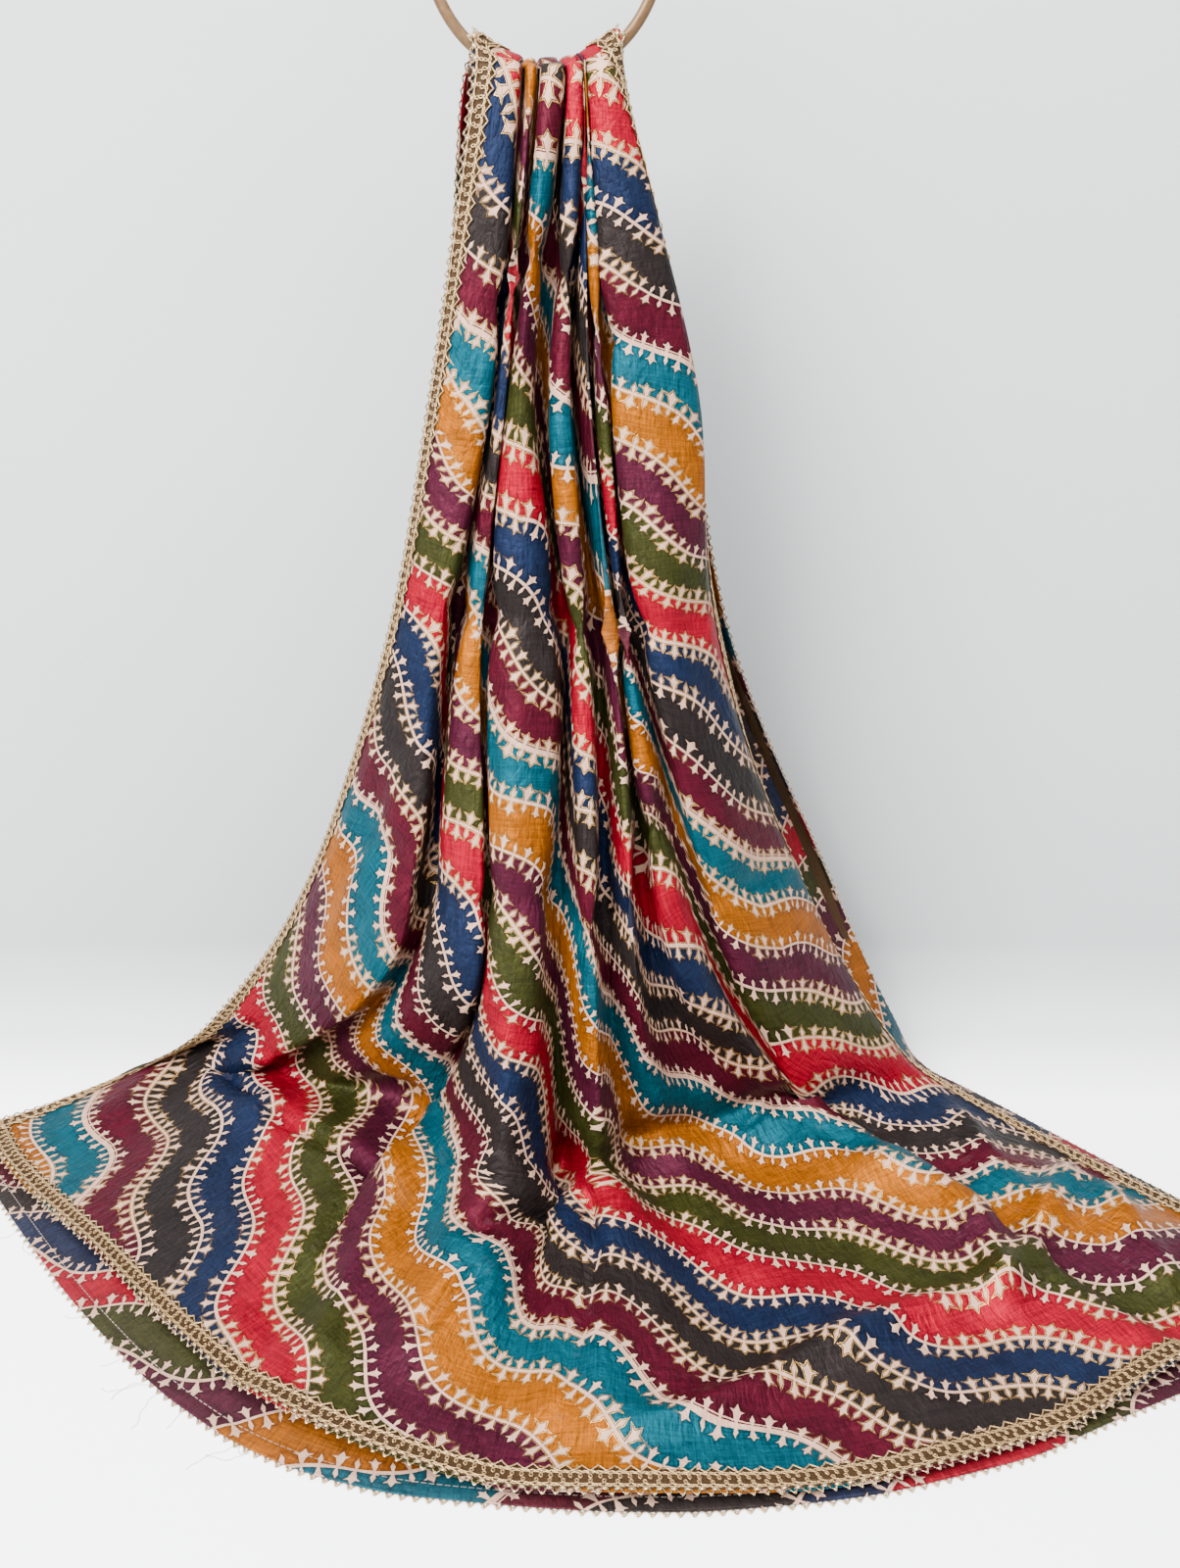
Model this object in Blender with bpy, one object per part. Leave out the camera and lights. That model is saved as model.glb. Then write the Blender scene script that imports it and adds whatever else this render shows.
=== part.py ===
"""Chinon dupatta pulled through a plain hoop. The front half falls in pleats and fans out on the floor, the
back half falls behind it and lies under it. Metres, Z up, the floor is z = 0 and the front looks along -Y."""

import bpy
import numpy as np

MM = 0.001

# Cloth and its sewn-on border lace
CLOTH_THICK = 0.0011
LACE_THICK = 0.0009
LACE_GAP = 0.0005
LACE_INSIDE = 0.018  # how far the lace reaches over the cloth from its edge
LACE_OUTSIDE = 0.005  # and beyond the edge, to the middle of its points
CORNER_GAP = 0.0008
OVER_LACE = 0.01  # the cloth is raised over the lace from this share of a fold line before it

# Colour, roughness and metal share of each material
CHINON = (0.30, 0.07, 0.12), 0.45, 0.0
GOLD_LACE = (0.46, 0.35, 0.20), 0.42, 0.55
TAN_METAL = (0.42, 0.27, 0.14), 0.35, 0.6

# Hoop that the cloth hangs from
HOOP_X, HOOP_Z = -0.031, 0.908
HOOP_RADIUS, HOOP_TUBE = 0.079, 0.0041
HOOP_STEPS, TUBE_STEPS = 56, 10
HOOP_CLEAR = 0.0020  # from the tube to the middle of the cloth
HOOP_GATHER = 0.92, 0.75, 0.85  # share of the neck's width in front of the tube, over it and behind it
HOOP_BULGE = 0.10  # how much of the pleats' depths shows there
HOOP_BESIDE = 0.002  # the cloth hangs this much further out before and behind the tube than over it
HOOP_DROP, DROP_BULGE = 0.006, 0.4  # and this much lower, with this share of the bulge

# Height of the middle of the cloth where it lies: back half, back half over its lace, front half
UNDER_LAYER = 0.0006
UNDER_BORDER = 0.0021
UPPER_LAYER = 0.0054

# Moves the whole part so that the middle of its box is over the origin
PLACE = np.array([-0.0230, 0.1746, 0.0])

# One row a fold line of the cloth, left to right: its share of the cloth's width, how far it lies behind
# the front of the pleats (mm), its x (mm) at four heights, the point where it lands on the floor (mm), and
# how high it stands there, halfway out and at the hem (mm).
FOLDS = [
    # name, share, depth, neck, upper, middle, low, land_x, land_y, lift, halfway, hem_lift
    ("left_edge", 0.000, 16, -82, -117, -163, -252, -414, 22, 4, 3, 1),
    ("lace_turn", 0.021, 2, -74, -107, -152, -238, -398, 34, 6, 5, 2),
    ("a_fold", 0.055, -3, -63, -91, -133, -200, -366, 42, 12, 8, 3),
    ("b_edge", 0.100, 0, -50, -73, -116, -154, -350, 16, 2, 1, 0),
    ("b_deep", 0.160, 36, -47, -72, -108, -136, -309, 14, 9, 6, 2),
    ("c_edge", 0.220, 6, -44, -70, -99, -125, -251, -14, 2, 1, 0),
    ("c_fold", 0.290, 3, -39, -59, -81, -87, -182, -47, 11, 8, 3),
    ("c_deep", 0.320, 32, -36, -58, -80, -84, -147, -75, 2, 1, 0),
    ("d_edge", 0.340, 0, -34, -57, -78, -81, -140, -80, 15, 9, 4),
    ("d_nose", 0.390, -10, -27, -50, -51, -59, -77, -205, 34, 16, 5),
    ("d_back", 0.440, 0, -19, -43, -24, -40, -42, -177, 18, 13, 4),
    ("e_deep", 0.485, 38, -18, -36, -20, -26, -24, -131, 3, 0, 0),
    ("f_edge", 0.530, 4, -15, -26, -14, -7, 0, -158, 18, 12, 5),
    ("f_fold", 0.600, 0, -6, -15, 2, 8, 11, -166, 22, 9, 3),
    ("g_deep", 0.645, 36, -5, -13, 6, 14, 33, -116, 3, 1, 0),
    ("g_fold", 0.690, 4, -4, 0, 20, 36, 67, -105, 11, 7, 3),
    ("h_deep", 0.765, 36, -4, 1, 24, 47, 113, -88, 2, 1, 0),
    ("h_edge", 0.840, 6, -3, 4, 27, 66, 165, -64, 18, 12, 4),
    ("h_fold", 0.870, 2, -2, 12, 33, 85, 195, -70, 22, 17, 8),
    ("j_deep", 0.885, 30, -1, 14, 40, 97, 209, -72, 2, 1, 0),
    ("j_edge", 0.900, 2, 0, 17, 45, 110, 226, -61, 9, 5, 2),
    ("j_face", 0.940, -10, 12, 49, 70, 154, 277, -47, 14, 16, 6),
    ("lace_fold", 0.979, 2, 24, 79, 98, 192, 319, -32, 7, 4, 2),
    ("right_edge", 1.000, 34, 25, 66, 107, 176, 322, -4, 4, 2, 1),
]
SHARE, DEPTH, HANGING, LAND, LIFTS = 1, 2, slice(3, 7), slice(7, 9), slice(9, 12)

# The four heights, top to bottom: how far forward the front half hangs there, how much of the depths
# counts, how strongly its sides curve back (per metre), how far behind it the back half hangs, the left and
# right edge of that half, and how far its own pleats go in and out.
HEIGHTS = [
    # name, z, front_y, depth_share, curve, back_gap, back_left, back_right, back_pleat
    ("neck", 0.812, -0.024, 0.45, 0.0, 0.048, -0.079, 0.021, 0.0080),
    ("upper", 0.620, -0.042, 0.85, 1.0, 0.062, -0.110, 0.073, 0.0120),
    ("middle", 0.420, -0.073, 1.05, 1.9, 0.066, -0.153, 0.116, 0.0130),
    ("low", 0.197, -0.140, 1.10, 2.9, 0.066, -0.240, 0.215, 0.0140),
]
CURVE_FROM = -0.030
BACK_CURVE = 0.95  # of that curve
BACK_EDGE_PLEATS = -0.6, 0.6, 0.6, 0.6  # its two outer fold lines on each side go out by this share
SWEEP_PLEAT = 0.008  # how far its pleats rise and sink where they sweep out to the floor

# Hems on the floor
FRONT_HEM = [
    # share of the width, x, y
    (0.00, -0.530, -0.052),
    (0.06, -0.486, -0.112),
    (0.18, -0.362, -0.226),
    (0.32, -0.236, -0.342),
    (0.45, -0.102, -0.410),
    (0.55, 0.036, -0.430),
    (0.65, 0.172, -0.418),
    (0.75, 0.292, -0.384),
    (0.86, 0.392, -0.330),
    (1.00, 0.564, -0.252),
]
BACK_HEM = [
    # share of the width, x, y
    (0.00, -0.524, -0.090),
    (0.12, -0.465, -0.162),
    (0.25, -0.350, -0.286),
    (0.38, -0.240, -0.376),
    (0.51, -0.135, -0.419),
    (0.62, 0.000, -0.434),
    (0.72, 0.115, -0.431),
    (0.82, 0.243, -0.407),
    (0.91, 0.371, -0.354),
    (1.00, 0.574, -0.268),
]
BORDER = 0.024  # the control row next to a hem lies this far inside it
EDGE_ROLL = 0.008, 0.016  # the back half's sewn edges turn forward by this much, across and deep
LAND_RISE = 0.009  # the cloth has risen this much more where the front half leaves the floor
BACK_BEHIND, BACK_BESIDE = 0.036, 0.006  # where the back half lands, from where the front half does
BACK_LINE = 0.9  # share of the front half's landing line that the back half's follows
# Where the cloth sweeps out to the floor: share of the lowest height's place, and of its z
FRONT_SWEEP, FRONT_SWEEP_RISE = 0.44, 0.31
BACK_SWEEP, BACK_SWEEP_RISE = 0.40, 0.27

# Steps of the solid's grid between control rows, from the front hem over the hoop to the back hem
STEPS_ALONG = [
    # up to control row, steps
    (LACE_INSIDE / BORDER, 1),
    (1, 1),
    (2, 2),
    (3, 3),
    (5, 6),
    (8, 10),
    (9, 2),
    (11, 8),
    (12, 2),
    (15, 7),
    (17, 4),
    (18, 2),
    (19, 1),
    (20 - LACE_INSIDE / BORDER, 1),
    (20, 1),
]
HOOP_ROW, LAST_ROW = 10, 20
STEPS_PER_FOLD = 2
ALONG_PULL, ACROSS_PULL = 0.5, 0.42  # how round the curves between control points are


def columns(table, which):
    """The numbers of one or more columns of a table, a row of the result for each column."""
    return np.array([row[which] for row in table], float).T


def hem_points(table, shares):
    """Points of a hem on the floor at these shares of the width, rounded between the rows of its table."""
    at, x, y = columns(table, slice(0, 3))
    knots = np.interp(shares, at, np.arange(len(at)))
    return spline_weights(len(at), knots, ALONG_PULL) @ np.stack([x, y, 0 * x], -1)


def spline_weights(knots, samples, pull):
    """Weights that turn values at whole knots into values at the samples, by a cubic through the knots."""
    first = np.clip(samples.astype(int), 0, knots - 2)
    t = samples - first
    parts = [
        (-1, pull * (-t + 2 * t**2 - t**3)),
        (0, 1 - (3 - pull) * t**2 + (2 - pull) * t**3),
        (1, pull * t + (3 - 2 * pull) * t**2 - (2 - pull) * t**3),
        (2, pull * (t**3 - t**2)),
    ]
    weights = np.zeros((len(samples), knots))
    for shift, part in parts:
        np.add.at(weights, (np.arange(len(samples)), np.clip(first + shift, 0, knots - 1)), part)
    return weights


def toward(start, end, distance):
    """Points this far from the starts on the way to the ends."""
    step = end - start
    return start + step * distance / np.linalg.norm(step, axis=1, keepdims=True)


def front_rows():
    """Control rows of the front half from its hem up to the neck, one point a fold line."""
    share, depth = columns(FOLDS, SHARE), columns(FOLDS, DEPTH) * MM
    land = np.c_[columns(FOLDS, LAND).T * MM, 0 * share]
    lift, halfway, hem_lift = columns(FOLDS, LIFTS) * MM
    hem = hem_points(FRONT_HEM, share)
    floor = [hem, toward(hem, land, BORDER), (hem + land) / 2, land]
    for row, height in zip(floor, (hem_lift, hem_lift, halfway, lift + LAND_RISE)):
        row[:, 2] = UPPER_LAYER + height
    hanging = []
    for (_, z, front_y, depth_share, curve, *_), x in zip(HEIGHTS, columns(FOLDS, HANGING) * MM):
        y = front_y + depth * depth_share + curve * (x - CURVE_FROM) ** 2
        hanging.append(np.stack([x, y, 0 * x + z], -1))
    low = hanging[-1]
    sweep = FRONT_SWEEP * low + (1 - FRONT_SWEEP) * land
    sweep[:, 2] = UPPER_LAYER + lift + FRONT_SWEEP_RISE * low[:, 2]
    return floor + [sweep] + hanging[::-1]


def hoop_rows(front_neck, back_neck):
    """Control rows in front of the hoop's tube, over it and behind it."""
    depth = columns(FOLDS, DEPTH) * MM
    bulge = HOOP_BULGE * (depth.max() - depth)
    bulge[[0, -1]] = bulge[[1, -2]]
    inner = HOOP_RADIUS - HOOP_TUBE - HOOP_CLEAR
    reach = HOOP_TUBE + HOOP_CLEAR + HOOP_BESIDE + bulge
    rows = []
    for side, gather in zip((-1, 0, 1), HOOP_GATHER):
        x = HOOP_X + gather * ((front_neck[:, 0] + back_neck[:, 0]) / 2 - HOOP_X)
        top = HOOP_Z - np.sqrt(inner**2 - (x - HOOP_X) ** 2)
        z = top + bulge if side == 0 else top - HOOP_DROP + DROP_BULGE * bulge
        rows.append(np.stack([x, side * reach, z], -1))
    return rows


def back_rows():
    """Control rows of the back half from the neck down to its hem."""
    share = columns(FOLDS, SHARE)
    side = np.where(np.arange(len(share)) % 2, 1.0, -1.0)
    side[[0, 1, -2, -1]] = BACK_EDGE_PLEATS
    hanging = []
    for number, (_, z, front_y, _, curve, gap, left, right, pleat) in enumerate(HEIGHTS):
        x = left + (right - left) * share
        if number == 0:
            x = np.maximum.accumulate(columns(FOLDS, HANGING)[0]) * MM + 0.1 * x
        x[1], x[-2] = x[0] + EDGE_ROLL[0], x[-1] - EDGE_ROLL[0]
        y = front_y + gap + BACK_CURVE * curve * (x - CURVE_FROM) ** 2 + side * pleat
        y[[0, -1]] -= EDGE_ROLL[1]
        hanging.append(np.stack([x, y, 0 * x + z], -1))
    land_x, land_y = columns(FOLDS, LAND) * MM
    x = land_x[0] + (land_x[-1] - land_x[0]) * share + BACK_BESIDE * (2 * share - 1)
    y = BACK_LINE * np.interp(x, land_x, land_y) + BACK_BEHIND
    land = np.stack([x, y, 0 * x + UNDER_LAYER], -1)
    hem = hem_points(BACK_HEM, share)
    hem[:, 2] = UNDER_LAYER
    low = hanging[-1]
    sweep = BACK_SWEEP * low + (1 - BACK_SWEEP) * land
    sweep[:, 2] = BACK_SWEEP_RISE * low[:, 2] + SWEEP_PLEAT * side
    return hanging + [sweep, land, (hem + land) / 2, toward(hem, land, BORDER), hem]


def control_net():
    """All control points, by row (front hem, over the hoop, back hem) and by fold line."""
    front, back = front_rows(), back_rows()
    return np.array(front + hoop_rows(front[-1], back[0]) + back)


def grid_positions():
    """Positions of the solid's grid lines: along, in control rows, and across, in fold lines."""
    along = [np.zeros(1)]
    for end, steps in STEPS_ALONG:
        along.append(np.linspace(along[-1][-1], end, steps + 1)[1:])
    across = np.linspace(0, len(FOLDS) - 1, (len(FOLDS) - 1) * STEPS_PER_FOLD + 1)
    edge = LACE_INSIDE / BORDER
    across = np.sort(np.r_[across, edge, across[-1] - edge])
    return np.concatenate(along), across


def cloth_surface(along, across):
    """Middle surface of the cloth: a point for each position along and each position across."""
    net = control_net()
    rows = spline_weights(len(net), along, ALONG_PULL)
    cols = spline_weights(len(FOLDS), across, ACROSS_PULL)
    points = np.einsum("ri,ijk,cj->rck", rows, net, cols)
    edge = LACE_INSIDE / BORDER + OVER_LACE
    at_side = (across < edge) | (across > across[-1] - edge)
    at_hem = along > LAST_ROW - edge
    over_lace = at_side[None, :] | at_hem[:, None]
    back = np.where(over_lace, UNDER_BORDER, UNDER_LAYER)
    floor = np.where(along[:, None] < HOOP_ROW, UPPER_LAYER, back)
    points[..., 2] = np.maximum(points[..., 2], floor)
    return points


def unit(vectors):
    return vectors / np.linalg.norm(vectors, axis=-1, keepdims=True)


def grid_normals(points):
    """Unit normals of a grid of points, on the face side of the cloth: the mean of the faces around."""
    faces = unit(np.cross(points[1:, 1:] - points[:-1, :-1], points[1:, :-1] - points[:-1, 1:]))
    faces = np.pad(faces, ((1, 1), (1, 1), (0, 0)))
    return unit(faces[1:, 1:] + faces[:-1, 1:] + faces[1:, :-1] + faces[:-1, :-1])


def add_part(name, points, faces, look):
    """A mesh object from points and faces that face out, with its own material."""
    colour, roughness, metallic = look
    mesh = bpy.data.meshes.new(name)
    mesh.from_pydata((np.asarray(points) + PLACE).tolist(), [], np.asarray(faces).tolist())
    part = bpy.data.objects.new(name, mesh)
    bpy.context.scene.collection.objects.link(part)
    material = bpy.data.materials.new(name.replace("_", " "))
    material.use_nodes = True
    shader = material.node_tree.nodes["Principled BSDF"]
    shader.inputs["Base Color"].default_value = (*colour, 1)
    shader.inputs["Roughness"].default_value = roughness
    shader.inputs["Metallic"].default_value = metallic
    mesh.materials.append(material)
    return part


def add_slab(name, face, reverse, look, turned=False):
    """A closed solid between two grids of points, the first on the side that faces out.

    Turned cuts its squares along the other diagonal, as the cloth's are where a grid runs across it.
    """
    rows, cols = face.shape[:2]
    under = rows * cols
    index = np.arange(under).reshape(rows, cols)
    a, b, c, d = index[:-1, :-1], index[:-1, 1:], index[1:, 1:], index[1:, :-1]
    halves = [(a, b, d), (b, c, d)] if turned else [(a, b, c), (a, c, d)]
    top = np.concatenate([np.stack(half, -1).reshape(-1, 3) for half in halves])
    rim = np.r_[index[0, :-1], index[:-1, -1], index[-1, :0:-1], index[:0:-1, 0]]
    following = np.roll(rim, -1)
    sides = [np.stack([rim, rim + under, following], -1)]
    sides.append(np.stack([following, rim + under, following + under], -1))
    points = np.concatenate([face.reshape(-1, 3), reverse.reshape(-1, 3)])
    return add_part(name, points, np.concatenate([top, top[:, ::-1] + under, *sides]), look)


def add_lace(name, points, normals, turned=False):
    """A band of lace on the face side of the cloth. The last column of points is the cloth's edge."""
    beyond = unit(points[:, -1] - points[:, -2]) * LACE_OUTSIDE
    points = np.concatenate([points, (points[:, -1] + beyond)[:, None]], axis=1)
    normals = np.concatenate([normals, normals[:, -1:]], axis=1)
    near = CLOTH_THICK / 2 + LACE_GAP
    far = near + LACE_THICK
    return add_slab(name, points + normals * far, points + normals * near, GOLD_LACE, turned)


for obj in list(bpy.data.objects):
    bpy.data.objects.remove(obj, do_unlink=True)

along, across = grid_positions()
cloth = cloth_surface(along, across)
normals = grid_normals(cloth)
half = normals * CLOTH_THICK / 2
add_slab("dupatta_cloth", cloth + half, cloth - half, CHINON)

inside = int(np.argmin(abs(across - LACE_INSIDE / BORDER)))
add_lace("lace_left_edge", cloth[::-1, inside::-1], normals[::-1, inside::-1])
add_lace("lace_right_edge", cloth[:, -1 - inside :], normals[:, -1 - inside :])
between = slice(inside, -inside)
for name, rows, order in (("lace_front_hem", [1, 0], 1), ("lace_back_hem", [-2, -1], -1)):
    border = cloth[rows, between].copy()
    for end, inner in ((0, 1), (-1, -2)):
        border[:, end] += unit(border[:, inner] - border[:, end]) * CORNER_GAP
    border = border.transpose(1, 0, 2)[::order]
    add_lace(name, border, normals[rows, between].transpose(1, 0, 2)[::order], turned=True)

turn = np.linspace(0, 2 * np.pi, HOOP_STEPS, endpoint=False)[:, None]
roll = np.linspace(0, 2 * np.pi, TUBE_STEPS, endpoint=False)[None, :]
reach = HOOP_RADIUS + HOOP_TUBE * np.cos(roll)
tube = [
    HOOP_X + reach * np.cos(turn),
    HOOP_TUBE * np.sin(roll) + 0 * turn,
    HOOP_Z + reach * np.sin(turn),
]
index = np.arange(HOOP_STEPS * TUBE_STEPS).reshape(HOOP_STEPS, TUBE_STEPS)
onward, around = np.roll(index, -1, axis=0), np.roll(index, -1, axis=1)
faces = np.stack([index, around, np.roll(onward, -1, axis=1), onward], -1).reshape(-1, 4)
add_part("display_hoop", np.stack(tube, -1).reshape(-1, 3), faces, TAN_METAL)
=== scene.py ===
import bpy
import numpy as np
from functools import partial
from math import cos, pi, radians, sin
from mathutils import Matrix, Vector


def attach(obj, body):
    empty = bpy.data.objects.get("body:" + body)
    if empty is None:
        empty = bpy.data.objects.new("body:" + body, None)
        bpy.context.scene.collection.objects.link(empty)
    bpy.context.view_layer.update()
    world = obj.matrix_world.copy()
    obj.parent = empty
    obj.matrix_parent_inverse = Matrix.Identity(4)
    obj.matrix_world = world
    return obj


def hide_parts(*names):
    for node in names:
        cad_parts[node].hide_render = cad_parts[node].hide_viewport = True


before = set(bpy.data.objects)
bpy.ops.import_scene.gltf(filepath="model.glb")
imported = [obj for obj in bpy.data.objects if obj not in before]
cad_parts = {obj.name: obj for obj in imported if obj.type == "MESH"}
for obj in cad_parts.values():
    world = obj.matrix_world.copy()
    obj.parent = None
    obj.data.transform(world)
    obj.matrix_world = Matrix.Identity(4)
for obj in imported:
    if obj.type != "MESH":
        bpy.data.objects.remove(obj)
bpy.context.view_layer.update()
print("frame loaded")

mm = 0.001
place = np.array([-0.0230, 0.1746, 0.0])  # the drape is worked out round the hoop's foot, then moved by this
hoop = dict(x=-0.031, z=0.908, radius=0.079, tube=0.0041, clear=0.0020, steps=220, sides=28)
drape = dict(
    width=1.15, length=2.15, thick=0.0005, cell=0.0086,
    rows=[(3, 60), (5, 38), (8, 90), (9, 8), (11, 18), (12, 8), (15, 56), (17, 24), (20, 26)],
    under=0.0006, underBorder=0.0021, upper=0.0054,  # heights of the layers that lie on the floor
    border=0.024, laceInside=0.018, edgeRoll=(0.008, 0.016), landRise=0.009,
    edgeFolds=(-0.6, 0.6, 0.6, 0.6), sweepFold=0.008,
    backBehind=0.036, backBeside=0.006, curveFrom=-0.030, alongPull=0.5, acrossPull=0.42, edgeSpare=0.01,
    frontSweep=(0.44, 0.31), backSweep=(0.40, 0.27),  # share of the lowest hanging row, in plan and in height
    neckSpread=0.1, backCurve=0.95, backLand=0.9,  # the back half's form, as shares of the front half's
)
# the cloth over the hoop; gathers draw its width together before, on and behind the hoop
crest = dict(bulge=0.10, bulgeBeside=0.4, spare=0.002, drop=0.006, gathers=(0.92, 0.75, 0.85))
hoopRow, lastRow = 10, 20

# one row a fold line, left to right: share of the width, depth behind the pleats' front (mm), x at four
# heights (mm), where it lands (mm), and how high it stands there, halfway out and at the hem (mm)
folds = [
    ("leftEdge", 0.000, 16, -82, -117, -163, -252, -414, 22, 4, 3, 1),
    ("laceTurn", 0.021, 2, -74, -107, -152, -238, -398, 34, 6, 5, 2),
    ("aFold", 0.055, -3, -63, -91, -133, -200, -366, 42, 12, 8, 3),
    ("bEdge", 0.100, 0, -50, -73, -116, -154, -350, 16, 2, 1, 0),
    ("bDeep", 0.160, 36, -47, -72, -108, -136, -309, 14, 9, 6, 2),
    ("cEdge", 0.220, 6, -44, -70, -99, -125, -251, -14, 2, 1, 0),
    ("cFold", 0.290, 3, -39, -59, -81, -87, -182, -47, 11, 8, 3),
    ("cDeep", 0.320, 32, -36, -58, -80, -84, -147, -75, 2, 1, 0),
    ("dEdge", 0.340, 0, -34, -57, -78, -81, -140, -80, 15, 9, 4),
    ("dNose", 0.390, -10, -27, -50, -51, -59, -77, -205, 34, 16, 5),
    ("dBack", 0.440, 0, -19, -43, -24, -40, -42, -177, 18, 13, 4),
    ("eDeep", 0.485, 38, -18, -36, -20, -26, -24, -131, 3, 0, 0),
    ("fEdge", 0.530, 4, -15, -26, -14, -7, 0, -158, 18, 12, 5),
    ("fFold", 0.600, 0, -6, -15, 2, 8, 11, -166, 22, 9, 3),
    ("gDeep", 0.645, 36, -5, -13, 6, 14, 33, -116, 3, 1, 0),
    ("gFold", 0.690, 4, -4, 0, 20, 36, 67, -105, 11, 7, 3),
    ("hDeep", 0.765, 36, -4, 1, 24, 47, 113, -88, 2, 1, 0),
    ("hEdge", 0.840, 6, -3, 4, 27, 66, 165, -64, 18, 12, 4),
    ("hFold", 0.870, 2, -2, 12, 33, 85, 195, -70, 22, 17, 8),
    ("jDeep", 0.885, 30, -1, 14, 40, 97, 209, -72, 2, 1, 0),
    ("jEdge", 0.900, 2, 0, 17, 45, 110, 226, -61, 9, 5, 2),
    ("jFace", 0.940, -10, 12, 49, 70, 154, 277, -47, 14, 16, 6),
    ("laceFold", 0.979, 2, 24, 79, 98, 192, 319, -32, 7, 4, 2),
    ("rightEdge", 1.000, 34, 25, 66, 107, 176, 322, -4, 4, 2, 1),
]
heights = [  # z, frontY, depthShare, curve, backGap, backLeft, backRight, backFold
    ("neck", 0.812, -0.024, 0.45, 0.0, 0.048, -0.079, 0.021, 0.0080),
    ("upper", 0.620, -0.042, 0.85, 1.0, 0.062, -0.110, 0.073, 0.0120),
    ("middle", 0.420, -0.073, 1.05, 1.9, 0.066, -0.153, 0.116, 0.0130),
    ("low", 0.197, -0.140, 1.10, 2.9, 0.066, -0.240, 0.215, 0.0140),
]
frontHem = [  # share of the width, x, y
    (0.00, -0.530, -0.052), (0.06, -0.486, -0.112), (0.18, -0.362, -0.226), (0.32, -0.236, -0.342),
    (0.45, -0.102, -0.410), (0.55, 0.036, -0.430), (0.65, 0.172, -0.418), (0.75, 0.292, -0.384),
    (0.86, 0.392, -0.330), (1.00, 0.564, -0.252),
]
backHem = [
    (0.00, -0.524, -0.090), (0.12, -0.465, -0.162), (0.25, -0.350, -0.286), (0.38, -0.240, -0.376),
    (0.51, -0.135, -0.419), (0.62, 0.000, -0.434), (0.72, 0.115, -0.431), (0.82, 0.243, -0.407),
    (0.91, 0.371, -0.354), (1.00, 0.574, -0.268),
]


def tableColumns(table, which):
    return np.array([row[which] for row in table], float).T


def unit(vectors):
    return vectors / np.maximum(np.linalg.norm(vectors, axis=-1, keepdims=True), 1e-12)


def smooth(values, low, high):
    t = np.clip((values - low) / (high - low), 0, 1)
    return t * t * (3 - 2 * t)


def spell(values, start, full, fall, end):
    return smooth(values, start, full) * (1 - smooth(values, fall, end))


def curveWeights(knots, samples, pull):
    first = np.clip(samples.astype(int), 0, knots - 2)
    t = samples - first
    parts = [
        (-1, pull * (-t + 2 * t**2 - t**3)),
        (0, 1 - (3 - pull) * t**2 + (2 - pull) * t**3),
        (1, pull * t + (3 - 2 * pull) * t**2 - (2 - pull) * t**3),
        (2, pull * (t**3 - t**2)),
    ]
    weights = np.zeros((len(samples), knots))
    for shift, part in parts:
        np.add.at(weights, (np.arange(len(samples)), np.clip(first + shift, 0, knots - 1)), part)
    return weights


def hemPoints(table, shares):
    at, x, y = tableColumns(table, slice(0, 3))
    knots = np.interp(shares, at, np.arange(len(at)))
    return curveWeights(len(at), knots, drape["alongPull"]) @ np.stack([x, y, 0 * x], -1)


def toward(start, end, distance):
    step = end - start
    return start + step * distance / np.linalg.norm(step, axis=1, keepdims=True)


share, depth = tableColumns(folds, 1), tableColumns(folds, 2) * mm
hangingX = tableColumns(folds, slice(3, 7)) * mm
landX, landY = tableColumns(folds, slice(7, 9)) * mm
lift, halfway, hemLift = tableColumns(folds, slice(9, 12)) * mm


def frontRows():
    land = np.stack([landX, landY, 0 * share], -1)
    hem = hemPoints(frontHem, share)
    floor = [hem, toward(hem, land, drape["border"]), (hem + land) / 2, land]
    for row, height in zip(floor, (hemLift, hemLift, halfway, lift + drape["landRise"])):
        row[:, 2] = drape["upper"] + height
    hanging = []
    for (_, z, frontY, depthShare, curve, *_), x in zip(heights, hangingX):
        y = frontY + depth * depthShare + curve * (x - drape["curveFrom"]) ** 2
        hanging.append(np.stack([x, y, 0 * x + z], -1))
    low = hanging[-1]
    plan, rise = drape["frontSweep"]
    sweep = plan * low + (1 - plan) * land
    sweep[:, 2] = drape["upper"] + lift + rise * low[:, 2]
    return floor + [sweep] + hanging[::-1]


def overHoop(frontNeck, backNeck):
    bulge = crest["bulge"] * (depth.max() - depth)
    bulge[[0, -1]] = bulge[[1, -2]]
    inner = hoop["radius"] - hoop["tube"] - hoop["clear"]
    reach = hoop["tube"] + hoop["clear"] + crest["spare"] + bulge
    rows = []
    for side, gather in zip((-1, 0, 1), crest["gathers"]):
        x = hoop["x"] + gather * ((frontNeck[:, 0] + backNeck[:, 0]) / 2 - hoop["x"])
        top = hoop["z"] - np.sqrt(inner**2 - (x - hoop["x"]) ** 2)
        z = top + bulge if side == 0 else top - crest["drop"] + crest["bulgeBeside"] * bulge
        rows.append(np.stack([x, side * reach, z], -1))
    return rows


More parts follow.
